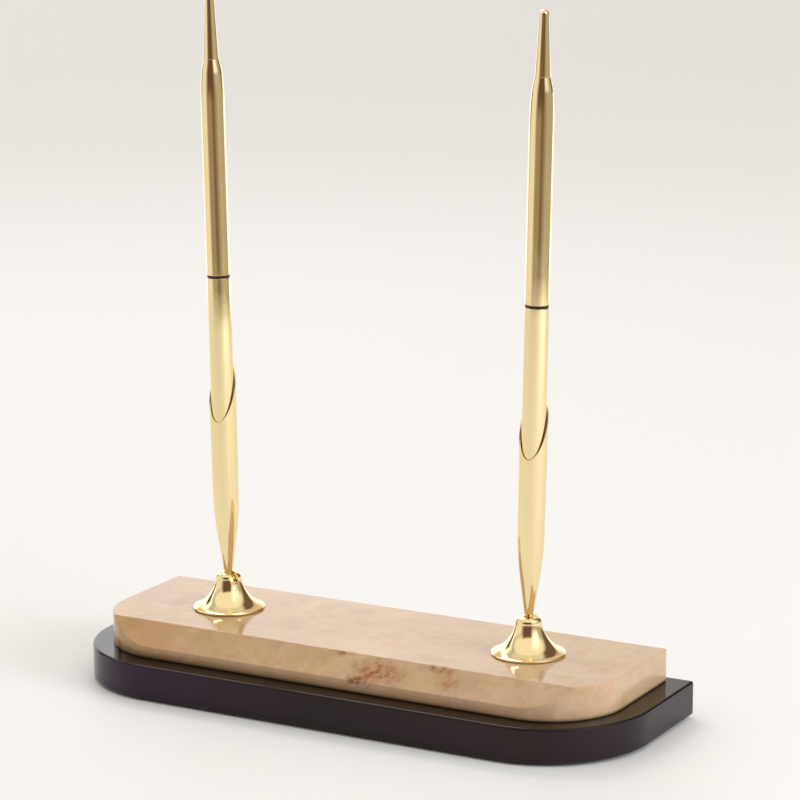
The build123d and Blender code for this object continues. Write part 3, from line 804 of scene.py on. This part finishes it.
def room_patch(tree, turn, rise, middle, half_width, low, high, soft):
    """Mask of a patch of the room, in degrees of turn from the camera's side and of rise, with soft edges."""
    offset = add(tree, "Math", {0: turn, 1: radians(middle)}, operation="SUBTRACT").outputs[0]
    one_way = add(tree, "Math", {0: offset}, operation="ABSOLUTE").outputs[0]
    other_way = add(tree, "Math", {0: 2 * pi, 1: one_way}, operation="SUBTRACT").outputs[0]
    away = add(tree, "Math", {0: one_way, 1: other_way}, operation="MINIMUM").outputs[0]
    mask = 1.0
    for angle, edge, inward in ((away, half_width, -1), (rise, low, 1), (rise, high, -1)):
        inside = add(tree, "MapRange", {
            "Value": angle, "From Min": radians(edge - inward * soft / 2),
            "From Max": radians(edge + inward * soft / 2)}, interpolation_type="SMOOTHSTEP").outputs["Result"]
        mask = add(tree, "Math", {0: inside, 1: mask}, operation="MULTIPLY").outputs[0]
    return mask


def glow(code, level):
    """Colour of a lit patch of the room at a brightness level."""
    return tuple(level * c for c in colour(code)[:3]) + (1.0,)


def make_room():
    """White studio round the stand, with bright panels and the dim room behind the camera."""
    world = bpy.data.worlds.new("studio_room")
    bpy.context.scene.world = world
    world.use_nodes = True
    tree = world.node_tree
    tree.nodes.clear()
    look = add(tree, "TexCoord").outputs["Generated"]
    ahead = add(tree, "VectorMath", {
        0: look, 1: heading(VIEW_TURN, 0)}, operation="DOT_PRODUCT").outputs["Value"]
    aside = add(tree, "VectorMath", {
        0: look, 1: heading(VIEW_TURN + 90, 0)}, operation="DOT_PRODUCT").outputs["Value"]
    turn = add(tree, "Math", {0: aside, 1: ahead}, operation="ARCTAN2").outputs[0]
    height = add(tree, "SeparateXYZ", {0: look}).outputs["Z"]
    rise = add(tree, "Math", {0: height}, operation="ARCSINE").outputs[0]
    walls = glow("#ffffff", WALL_LEVEL)
    for middle, half_width, low, high, soft, code, level in ROOM:
        mask = room_patch(tree, turn, rise, middle, half_width, low, high, soft)
        walls = add(tree, "Mix", {0: mask, 6: walls, 7: glow(code, level)}, data_type="RGBA").outputs[2]
    background = add(tree, "Background", {"Color": walls, "Strength": 1.0})
    add(tree, "OutputWorld", {"Surface": background.outputs["Background"]})


def make_softbox(name, turn, rise, distance, width, height, power, mirrored):
    """Softbox that faces the stand. One that is not mirrored stays out of the gold."""
    lamp = bpy.data.lights.new(name, "AREA")
    lamp.shape = "RECTANGLE"
    lamp.size = width
    lamp.size_y = height
    lamp.energy = power
    outward = heading(VIEW_TURN + turn, rise)
    softbox = bpy.data.objects.new(name, lamp)
    softbox.location = outward * distance
    softbox.rotation_euler = (-outward).to_track_quat("-Z", "Y").to_euler()
    softbox.visible_camera = False
    softbox.visible_glossy = mirrored
    bpy.context.scene.collection.objects.link(softbox)


def make_camera():
    """Camera at the photograph's place, turned about its own axis by the photograph's small roll."""
    back = heading(VIEW_TURN, VIEW_RISE)
    camera = bpy.data.cameras.new("photo_view")
    camera.lens = VIEW_FOCAL / IMAGE_SIDE * camera.sensor_width
    tripod = bpy.data.objects.new("photo_view", camera)
    tripod.location = Vector(VIEW_TARGET) + back * VIEW_DISTANCE
    facing = (-back).to_track_quat("-Z", "Y")
    tripod.rotation_euler = (facing @ Quaternion((0, 0, 1), radians(VIEW_ROLL))).to_euler()
    bpy.context.scene.collection.objects.link(tripod)
    bpy.context.scene.camera = tripod


# The stand

finishes = {
    "gold_plate": polished_gold_plate(),
    "stone": polished_onyx(),
    "dark_acrylic": polished_dark_acrylic(),
    "felt": pressed_felt(),
    "black_ring": black_acetal(),
    "steel": zinc_plated_steel(),
    "raw_brass": turned_brass(),
    "nylon": natural_nylon(),
}
for subpart in frame["record"]["subparts"]:
    for material_slot in frame["nodes"][subpart["node"]].material_slots:
        material_slot.material = finishes[subpart["material_slot"]]

make_felt()
make_plinth()
make_slab()
for side in SIDES:
    make_bell(side)
    make_funnel(side)
    make_nose_cone(side)
    make_lower_barrel(side)
    make_centre_ring(side)
    make_upper_barrel(side)
    make_tail(side)

make_floor()
make_room()
for softbox in SOFTBOXES:
    make_softbox(*softbox)
make_camera()
bpy.context.scene.view_settings.view_transform = "Standard"
